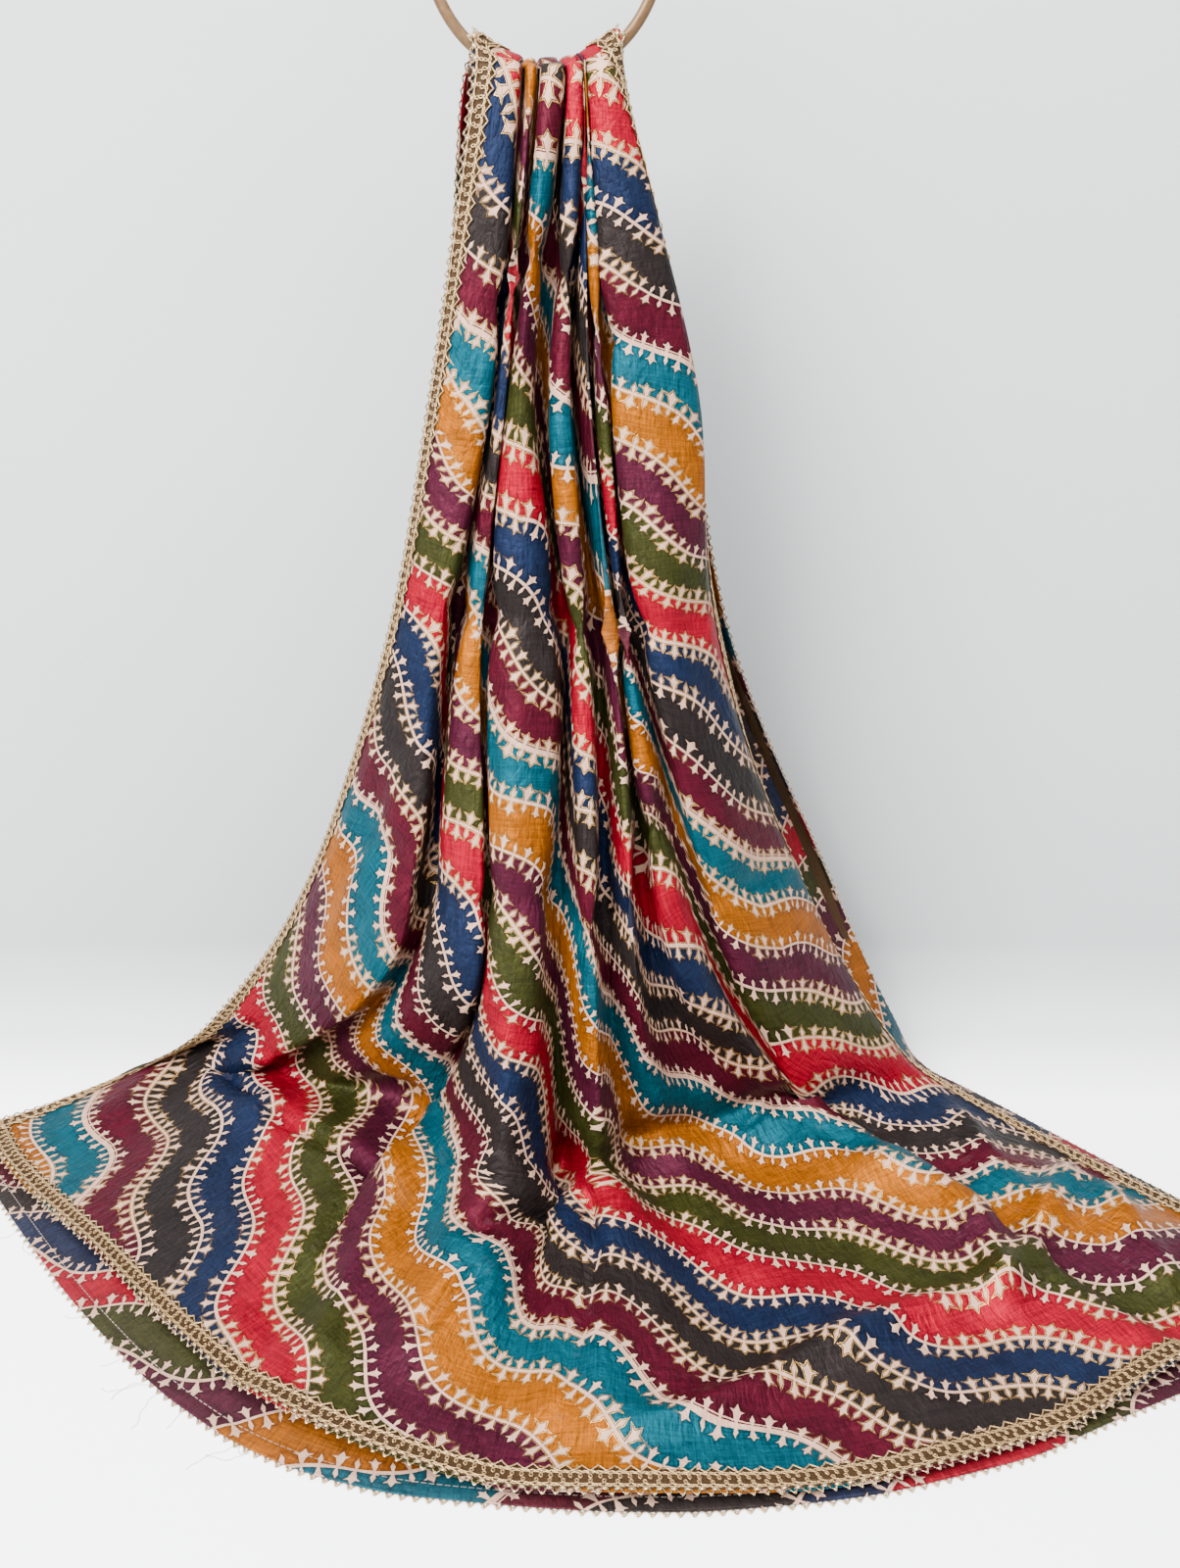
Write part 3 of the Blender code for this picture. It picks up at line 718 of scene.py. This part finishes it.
def newFinish(name, specular, **shaderValues):
    finish = bpy.data.materials.new(name)
    finish.use_nodes = True
    shader = finish.node_tree.nodes["Principled BSDF"]
    shader.inputs["Specular IOR Level"].default_value = specular
    for socket, value in shaderValues.items():
        shader.inputs[socket].default_value = value
    return finish, finish.node_tree, shader


def bumped(tree, shader, height, distance):
    bump = tree.nodes.new("ShaderNodeBump")
    bump.inputs["Distance"].default_value = distance
    put(tree, bump.inputs["Height"], height)
    tree.links.new(bump.outputs[0], shader.inputs["Normal"])


def printedCloth(name, washOut, foil, stitch):
    finish, tree, shader = newFinish(name, specular=0.05)
    spot = stretched(tree, printSpot(tree), [clothLook["mapSide"]] * 3)
    pattern = tree.nodes.new("ShaderNodeGroup")
    pattern.node_tree = printGroup
    pattern.inputs["Wash Out"].default_value = washOut
    pattern.inputs["Foil"].default_value = foil
    tree.links.new(spot, pattern.inputs["Place"])
    colour = pattern.outputs["Color"]
    if stitch:  # the lace's stitching shows on the reverse of the back hem
        u, v, _ = takeApart(tree, spot)
        offLine = maths(tree, "ABSOLUTE", maths(tree, "SUBTRACT", v, drape["length"] - stitch))
        dash = maths(tree, "SINE", maths(tree, "MULTIPLY", u, clothLook["stitchPace"]))
        dash = ramp(tree, dash, *clothLook["stitchGap"])
        thread = maths(tree, "MULTIPLY", ramp(tree, offLine, *clothLook["stitchEdge"]), dash)
        colour = mixColour(tree, thread, colour, clothLook["stitch"])
    tree.links.new(colour, shader.inputs["Base Color"])
    for name in ("Roughness", "Metallic"):
        tree.links.new(pattern.outputs[name], shader.inputs[name])
    bumped(tree, shader, pattern.outputs["Height"], clothLook["bump"])
    return finish


# wash out, foil and the stitching's distance from the hem
clothFace = printedCloth("printed chinon face", 0.0, 1.0, 0.0)
clothReverse = printedCloth("printed chinon reverse", 0.07, 0.0, 0.011)
print("cloth finishes")

count = clothPoints[..., 0].size
index = np.arange(count).reshape(clothPoints.shape[:2])
quads = np.stack([index[:-1, :-1], index[:-1, 1:], index[1:, 1:], index[1:, :-1]], -1).reshape(-1, 4)
rim = np.r_[index[0, :-1], index[:-1, -1], index[-1, :0:-1], index[:0:-1, 0]]
following = np.roll(rim, -1)
sides = np.stack([rim, rim + count, following + count, following], -1)
half = gridNormals(clothPoints) * drape["thick"] / 2
places = np.stack([u, v], -1).reshape(-1, 2) / clothLook["mapSide"]
drapePiece = addMesh(
    "dupatta_drape",
    np.concatenate([(clothPoints + half).reshape(-1, 3), (clothPoints - half).reshape(-1, 3)]),
    np.concatenate([quads, quads[:, ::-1] + count, sides]),
    [clothFace, clothReverse],
    np.r_[np.zeros(len(quads)), np.ones(len(quads) + len(sides))],
    np.concatenate([places, places]),
)
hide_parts("dupatta_cloth")
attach(drapePiece, "root")
print("cloth", len(drapePiece.data.polygons), "faces")

# gold border lace: a netted band with looped cords, and folded ribbon points along the outside;
# its sizes are lengths along the edge, distances in from the edge and heights above the cloth
lace = dict(
    band=[
        (0.0025, 0.0004), (0.0025, 0.0008), (0.0065, 0.00095),
        (0.0125, 0.00095), (0.0165, 0.0008), (0.0165, 0.0004),
    ],
    step=0.0030,
    cord=0.00052, cordSides=5, cordHigh=(0.0013, 0.0003), cordPoints=(14, 12, 4),
    scallop=(0.0105, 0.0016, 0.0140, 0.0044), scallopBend=0.8,  # repeat, sway, distance in, depth
    loops=[(0.0062, -0.0024, 0.0112, 0.0021, 1), (0.0084, 0.0029, 0.0066, 0.0021, pi / 2)],  # and phase
    lines=(0.0042, 0.0004), linesAt=(0.0038, 0.0140), lineHigh=0.0012,
    point=0.0084, ribbon=0.0011, tipOut=0.0028, ribbonFoot=0.0032, ribbonThick=0.0003,
    ribbonHigh=((0.0015, 0.0010), (0.0009, 0.0013)), gemFoot=0.0005,
    gem=(0.0058, 0.0006, 0.0034, 0.0012, 0.0023), tipGem=(-0.0004, 0.0022, 0.0014, 0.0010, 0.0016),
    cornerGap=0.0193, endGap=0.0005, lowest=0.0001, finer=(3, 6), hemSteps=26, sideSteps=60, sideFolds=3,
)
lacePaint = dict(
    # cord and points: each pair runs from painted shade to a painted glint, and the twist grain picks between
    # them
    cord=((0.060, 0.031, 0.012, 1), (0.42, 0.275, 0.130, 1)),
    # net: gold thread lines, and painted near-black shade in the openings between them
    net=((0.115, 0.062, 0.027, 1), (0.010, 0.005, 0.002, 1)),
    points=((0.060, 0.031, 0.012, 1), (0.46, 0.33, 0.18, 1)),
    twist=((1, 2.2, 1), 3.0), glintShadeRange=(0.36, 0.60), twistRough=(0.2, 0.8), relief=0.0002,
    netPace=3400.0, netThreadToShade=(0.20, 0.5), netRise=(0.5, 0.1), netRelief=0.0004,
)


def goldFinish(name, tones, roughness, metallic, grain):
    finish, tree, shader = newFinish(name, specular=0.15, Metallic=metallic)
    twist = noiseAt(tree, printSpot(tree), grain, *lacePaint["twist"])
    # the twist grain paints shade and glints into the colour; the roughness and bump it drives are the
    # thread's own
    toneWithPaintedLight = mixColour(tree, ramp(tree, twist, *lacePaint["glintShadeRange"]), *tones)
    tree.links.new(toneWithPaintedLight, shader.inputs["Base Color"])
    tree.links.new(ramp(tree, twist, *lacePaint["twistRough"], *roughness), shader.inputs["Roughness"])
    bumped(tree, shader, twist, lacePaint["relief"])
    return finish


def netFinish():
    finish, tree, shader = newFinish("gold net band", specular=0.1, Metallic=0.35, Roughness=0.5)
    s, d, _ = takeApart(tree, printSpot(tree))
    slants = []
    do = partial(maths, tree)
    for sign in ("ADD", "SUBTRACT"):
        slants.append(do("ABSOLUTE", do("SINE", do("MULTIPLY", do(sign, s, d), lacePaint["netPace"]))))
    mesh = do("MINIMUM", *slants)
    # thread lines stay gold; the openings between them are painted near-black as shade
    toneWithPaintedLight = mixColour(tree, ramp(tree, mesh, *lacePaint["netThreadToShade"]), *lacePaint["net"])
    tree.links.new(toneWithPaintedLight, shader.inputs["Base Color"])
    bumped(tree, shader, ramp(tree, mesh, *lacePaint["netRise"]), lacePaint["netRelief"])
    return finish


laceFinishes = [  # roughness, metallic and grain of the cord and the ribbon points
    goldFinish("gold cord", lacePaint["cord"], (0.22, 0.40), 0.6, 1000.0),
    netFinish(),
    goldFinish("gold ribbon point", lacePaint["points"], (0.18, 0.36), 0.70, 700.0),
]


def edgeGrid(side):
    def finer(places, times):
        spots = np.linspace(0, len(places) - 1, times * len(places))
        return np.interp(spots, np.arange(len(places)), places)

    if side in ("left", "right"):
        start = 0 if side == "left" else len(folds) - 1 - lace["sideFolds"]
        cols = np.linspace(start, start + lace["sideFolds"], lace["sideSteps"])
        points = clothSurface(finer(along, lace["finer"][0]), cols)
    else:
        start = 0 if side == "front" else lastRow - 1
        rows = np.linspace(start, start + 1, lace["hemSteps"])
        points = clothSurface(rows, finer(across, lace["finer"][1]))
    both = np.stack([points, gridNormals(points)])
    if side == "right":
        both = both[:, :, ::-1]
    if side == "back":
        both = both[:, ::-1]
    if side in ("front", "back"):
        both = both.transpose(0, 2, 1, 3)
    points, normals = both
    return steps(points[:, :1], 0)[:, 0], steps(points, 1), points, normals


def onLace(grid, spots):
    run, deep, points, normals = grid
    s, d, h = np.asarray(spots).T
    at = np.interp(s, run, np.arange(len(run)))
    low = np.clip(at.astype(int), 0, len(run) - 2)
    part = (at - low)[:, None]
    deepHere = deep[low] * (1 - part) + deep[low + 1] * part
    pick = np.arange(len(s))
    cell = np.clip((deepHere <= d[:, None]).sum(1) - 1, 0, deep.shape[1] - 2)
    reach = (d - deepHere[pick, cell]) / np.maximum(deepHere[pick, cell + 1] - deepHere[pick, cell], 1e-9)
    reach = np.clip(reach, 0, 1)[:, None]

    def between(values):
        first = values[low, cell] * (1 - part) + values[low + 1, cell] * part
        second = values[low, cell + 1] * (1 - part) + values[low + 1, cell + 1] * part
        return first * (1 - reach) + second * reach

    outward = unit(points[low, 0] - points[low, 1])
    found = between(points) + unit(between(normals)) * h[:, None] - outward * np.minimum(d, 0)[:, None]
    found[:, 2] = np.maximum(found[:, 2], lace["lowest"])
    return found


def tubeFaces(rings, sides):
    index = np.arange(rings * sides).reshape(rings, sides)
    onward = np.roll(index, -1, axis=1)
    return np.stack([index[:-1], onward[:-1], onward[1:], index[1:]], -1).reshape(-1, 4)


def cordMesh(path, radius, sides):
    tangent = unit(np.gradient(path, axis=0))
    side = unit(np.cross(tangent, (0, 0, 1.0)))
    up = np.cross(side, tangent)
    turn = np.linspace(0, 2 * pi, sides, endpoint=False)[None, :, None]
    ring = path[:, None] + radius * (np.cos(turn) * side[:, None] + np.sin(turn) * up[:, None])
    return ring.reshape(-1, 3), tubeFaces(len(path), sides)


def bandMesh(start, end, section):
    s = np.linspace(start, end, int((end - start) / lace["step"]) + 1)
    spots = np.array([[(at, d, h) for d, h in section] for at in s])
    return spots.reshape(-1, 3), tubeFaces(len(s), len(section))


def pointMesh(start, end):
    spots, faces = [], []
    half, wide = lace["point"] / 2, lace["ribbon"] / 2
    foot, tip = lace["ribbonFoot"], -lace["tipOut"]

    def ribbon(at, near, far, left, right):
        first = len(spots)
        corners = [(at - wide, near, left), (at + wide, near, right)]
        corners += [(at + half + wide, far, right), (at + half - wide, far, left)]
        for level in (0, -lace["ribbonThick"]):
            spots.extend((s, d, h + level) for s, d, h in corners)
        faces.extend([(first, first + 1, first + 2, first + 3), (first + 7, first + 6, first + 5, first + 4)])
        for i in range(4):
            onward = (i + 1) % 4
            faces.append((first + i, first + 4 + i, first + 4 + onward, first + onward))

    def gem(s, inner, outer, width, low, high):
        first, middle = len(spots), (2 * outer + inner) / 3
        spots.extend([(s - width, outer, low), (s + width, outer, low), (s, inner, low)])
        spots.extend([(s, middle, high), (s, middle, low - lace["gemFoot"])])
        a, b, c, top, under = range(first, first + 5)
        order = [(a, b, top), (b, c, top), (c, a, top), (b, a, under), (c, b, under), (a, c, under)]
        faces.extend(order if inner > outer else [face[::-1] for face in order])

    inner, outer, *form = lace["tipGem"]
    for s in np.arange(start + half, end - half / 2, lace["point"]):
        ribbon(s, foot, tip, *lace["ribbonHigh"][0])
        ribbon(s + half, tip, foot, *lace["ribbonHigh"][1])
        gem(s, *lace["gem"])
        gem(s + half, tip + inner, tip + outer, *form)
    return np.array(spots), faces


def laceParts(start, end):
    def wave(repeat, points):
        turns = np.linspace(0, (end - start) / repeat, int((end - start) / repeat * points))
        return start + turns * repeat, 2 * pi * turns

    parts = [(*bandMesh(start, end, lace["band"]), 1)]
    scallopPoints, loopPoints, linePoints = lace["cordPoints"]
    level, rise = lace["cordHigh"]
    repeat, sway, inside, deep = lace["scallop"]
    s, turn = wave(repeat, scallopPoints)
    bow = inside + deep * abs(np.sin(turn / 2)) ** lace["scallopBend"]
    paths = [np.stack([s + sway * np.sin(turn), bow, level + rise * np.sin(turn / 2)], -1)]
    for repeat, sway, inside, deep, phase in lace["loops"]:
        s, turn = wave(repeat, loopPoints)
        high = level + rise * np.sin(turn + phase)
        paths.append(np.stack([s + sway * np.sin(turn), inside - deep * np.cos(turn), high], -1))
    repeat, sway = lace["lines"]
    s, turn = wave(repeat, linePoints)
    for inside in lace["linesAt"]:
        paths.append(np.stack([s, inside + sway * np.sin(turn), 0 * s + lace["lineHigh"]], -1))
    for path in paths:
        parts.append((*cordMesh(path, lace["cord"], lace["cordSides"]), 0))
    parts.append((*pointMesh(start, end), 2))
    return parts


names = dict(left="lace_left_edge", right="lace_right_edge", front="lace_front_hem", back="lace_back_hem")
for side in names:
    grid = edgeGrid(side)
    run = grid[0]
    gap = lace["endGap"] + (0.0 if side in ("left", "right") else lace["cornerGap"])
    spots, faces, finishOf = [], [], []
    for partSpots, partFaces, which in laceParts(run[0] + gap, run[-1] - gap):
        offset = sum(map(len, spots))
        spots.append(partSpots)
        faces.extend([tuple(int(i) + offset for i in face) for face in partFaces])
        finishOf.extend([0 if side == "back" else which] * len(partFaces))
    spots = np.concatenate(spots)
    if side in ("right", "front"):
        faces = [face[::-1] for face in faces]
    piece = addMesh("gold_" + names[side], onLace(grid, spots), faces, laceFinishes, finishOf, spots[:, :2])
    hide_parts(names[side])
    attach(piece, "root")
    print("lace", side, len(faces), "faces")

# loose threads at the left end of the back hem
threads = dict(
    count=16, shares=(0.02, 0.42), length=(0.014, 0.036), thick=0.00014, sides=4, steps=14, seed=11,
    heading=(-2.9, -1.5), bends=(-0.5, 0.5), drift=(-0.12, 0.12), high=(0.0008, 0.0003),
)
draw = np.random.RandomState(threads["seed"])
spots, faces = [], []
hem = smoothCloth[-1]
for number in range(threads["count"]):
    start = draw.uniform(*threads["shares"]) * (len(hem) - 1)
    root = np.array([np.interp(start, np.arange(len(hem)), axis) for axis in hem.T])
    heading = draw.uniform(*threads["heading"])
    bends = draw.uniform(*threads["bends"], threads["steps"])
    heading = heading + np.cumsum(bends + draw.uniform(*threads["drift"]))
    step = draw.uniform(*threads["length"]) / threads["steps"]
    path = root + np.cumsum(step * np.stack([np.cos(heading), np.sin(heading), 0 * heading], -1), axis=0)
    path[:, 2] = np.linspace(*threads["high"], threads["steps"])
    ring, sides = cordMesh(path, threads["thick"], threads["sides"])
    faces.extend((sides + sum(map(len, spots))).tolist())
    spots.append(ring)
spots = np.concatenate(spots)
threadPiece = addMesh("loose_threads", spots, faces, [clothReverse], None, spots[:, :2])
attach(threadPiece, "root")

# hoop: a bent tube in satin tan metal
hoopPaint = dict(
    tones=((0.050, 0.027, 0.010, 1), (0.115, 0.063, 0.027, 1)), roughness=(0.2, 0.8, 0.34, 0.52),
    brushing=(260.0, (1, 1, 1), 4.0), relief=0.00015,
)
hoopFinish, tree, shader = newFinish("satin tan hoop", specular=0.2, Metallic=0.35)
where = tree.nodes.new("ShaderNodeTexCoord").outputs["Object"]
brushed = noiseAt(tree, where, *hoopPaint["brushing"])
tree.links.new(mixColour(tree, brushed, *hoopPaint["tones"]), shader.inputs["Base Color"])
tree.links.new(ramp(tree, brushed, *hoopPaint["roughness"]), shader.inputs["Roughness"])
bumped(tree, shader, brushed, hoopPaint["relief"])
turn = np.linspace(0, 2 * pi, hoop["steps"], endpoint=False)[:, None]
roll = np.linspace(0, 2 * pi, hoop["sides"], endpoint=False)[None, :]
reach = hoop["radius"] + hoop["tube"] * np.cos(roll)
tube = [reach * np.cos(turn), hoop["tube"] * np.sin(roll) + 0 * turn, reach * np.sin(turn)]
tubePoints = np.stack(tube, -1).reshape(-1, 3) + [hoop["x"], 0, hoop["z"]]
faces = tubeFaces(hoop["steps"] + 1, hoop["sides"]) % len(tubePoints)  # the last ring is the first again
hoopPiece = addMesh("hoop_ring", tubePoints, faces, [hoopFinish])
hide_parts("display_hoop")
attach(hoopPiece, "root")

# pale floor that sweeps up into a wall close behind; the wall's colour is partly its own grey and partly
# painted shade for the lesser light a wall gets
stage = dict(
    front=-3.0, bend=0.105, radius=0.07, arcSteps=24, top=3.2, half=3.5, fade=(-0.005, 0.165), patches=3.0,
    floor=(paint(236, 237, 239), paint(232, 233, 235)), wallWithShade=(paint(154, 156, 157), paint(149, 150, 151)),
)
arc = np.linspace(0, pi / 2, stage["arcSteps"])
profile = [(stage["front"], 0.0)]
profile += [(stage["bend"] + stage["radius"] * sin(t), stage["radius"] * (1 - cos(t))) for t in arc]
profile += [(stage["bend"] + stage["radius"], stage["top"])]
sweepPoints = [(x, y, z) for y, z in profile for x in (-stage["half"], stage["half"])]
sweepFaces = [(2 * i, 2 * i + 1, 2 * i + 3, 2 * i + 2) for i in range(len(profile) - 1)]
backdropFinish, tree, shader = newFinish("pale backdrop", specular=0.1, Roughness=0.85)
where = tree.nodes.new("ShaderNodeTexCoord").outputs["Object"]
uneven = noiseAt(tree, where, stage["patches"])
tones = [mixColour(tree, uneven, *stage[part]) for part in ("floor", "wallWithShade")]
# upward the colour turns from the floor tone into the darker wall tone, which holds painted shade
raised = ramp(tree, takeApart(tree, where)[1], *[y + place[1] for y in stage["fade"]], soft=False)
tree.links.new(mixColour(tree, raised, *tones), shader.inputs["Base Color"])
behind = tree.nodes.new("ShaderNodeNewGeometry").outputs["Backfacing"]  # seen from behind, it is clear
tree.links.new(maths(tree, "SUBTRACT", 1.0, behind), shader.inputs["Alpha"])
backdrop = addMesh("backdrop", np.array(sweepPoints) - place * [1, 0, 1], sweepFaces, [backdropFinish])

# soft studio light, and a pale room around it
air = dict(colour=paint(238, 241, 245), strength=0.62)
lights = [  # name, place, aim, size, watts
    ("key", (-1.7, -2.0, 2.4), (0.0, 0.0, 0.3), 1.9, 690),
    ("fill", (1.9, -1.7, 1.7), (0.0, 0.1, 0.4), 2.0, 60),
    ("top", (0.2, -0.6, 2.9), (0.0, 0.0, 0.0), 1.5, 190),
]
for name, spot, aim, size, watts in lights:
    lamp = bpy.data.lights.new(name, "AREA")
    lamp.size, lamp.energy = size, watts
    piece = bpy.data.objects.new(name, lamp)
    piece.location = spot
    piece.rotation_euler = (Vector(aim) - Vector(spot)).to_track_quat("-Z", "Y").to_euler()
    bpy.context.scene.collection.objects.link(piece)
world = bpy.context.scene.world or bpy.data.worlds.new("pale room")
bpy.context.scene.world = world
world.use_nodes = True
sky = world.node_tree.nodes["Background"]
sky.inputs["Color"].default_value = air["colour"]
sky.inputs["Strength"].default_value = air["strength"]

camera = bpy.data.objects.new("camera", bpy.data.cameras.new("camera"))
camera.data.lens, camera.data.sensor_width = view["lens"], view["sensor"]
camera.location = place + view["place"]
camera.rotation_euler = (pi / 2 - view["pitch"], 0, 0)
bpy.context.scene.collection.objects.link(camera)
bpy.context.scene.camera = camera
print("stage, light and camera")
